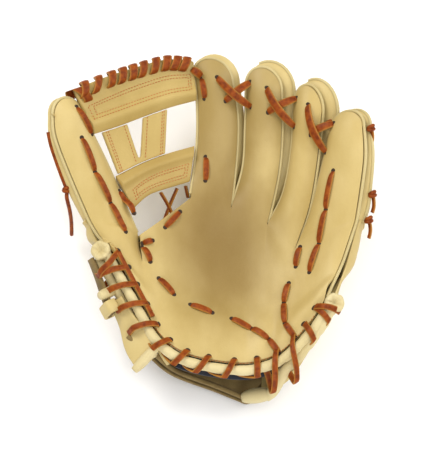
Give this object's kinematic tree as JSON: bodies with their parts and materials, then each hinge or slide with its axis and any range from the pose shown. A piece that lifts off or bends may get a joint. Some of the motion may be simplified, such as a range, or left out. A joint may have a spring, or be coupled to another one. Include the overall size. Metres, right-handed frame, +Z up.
{
  "type": "baseball glove",
  "caption": "Soft leather infield glove lying palm up, with an open pocket, hollow finger stalls, a laced web and heel and a wrist strap",
  "frame": {"origin": "on the floor, under the deepest point of the pocket, in the middle of the flattened back of the hand", "axes": "+Y from the heel to the fingertips, +X from the thumb to the little finger, +Z up out of the pocket"},
  "size_m": [0.2607, 0.2842, 0.1023],
  "materials": {
    "tan_leather": "smooth blond leather with a soft sheen, darker where the ball lands",
    "back_leather": "smooth blond leather with a soft sheen",
    "welt_leather": "pale cream leather piping, matte",
    "lace_leather": "rust-red oiled rawhide lacing",
    "lining_leather": "dark navy soft lining, matte",
    "strap_suede": "napped suede side of the wrist strap"
  },
  "bodies": {
    "root": {"palm_shell": "tan_leather", "thumb_back": "back_leather", "index_back": "back_leather", "middle_back": "back_leather", "ring_back": "back_leather", "little_back": "back_leather", "hand_back": "back_leather", "hand_lining": "lining_leather", "thumb_welt": "welt_leather", "index_welt": "welt_leather", "middle_welt": "welt_leather", "ring_welt": "welt_leather", "little_welt": "welt_leather", "palm_binding": "welt_leather", "thumb_side_binding": "welt_leather", "little_side_binding": "welt_leather", "wrist_strap": "strap_suede", "strap_tab": "back_leather", "strap_keeper": "back_leather", "web_top_bar": "tan_leather", "web_posts": "tan_leather", "web_lower_bar": "tan_leather", "heel_lace": "lace_leather", "web_top_lace": "lace_leather", "fingertip_lace_1": "lace_leather", "fingertip_lace_2": "lace_leather", "fingertip_lace_3": "lace_leather", "thumb_tie_lace": "lace_leather"}
  },
  "joints": []
}
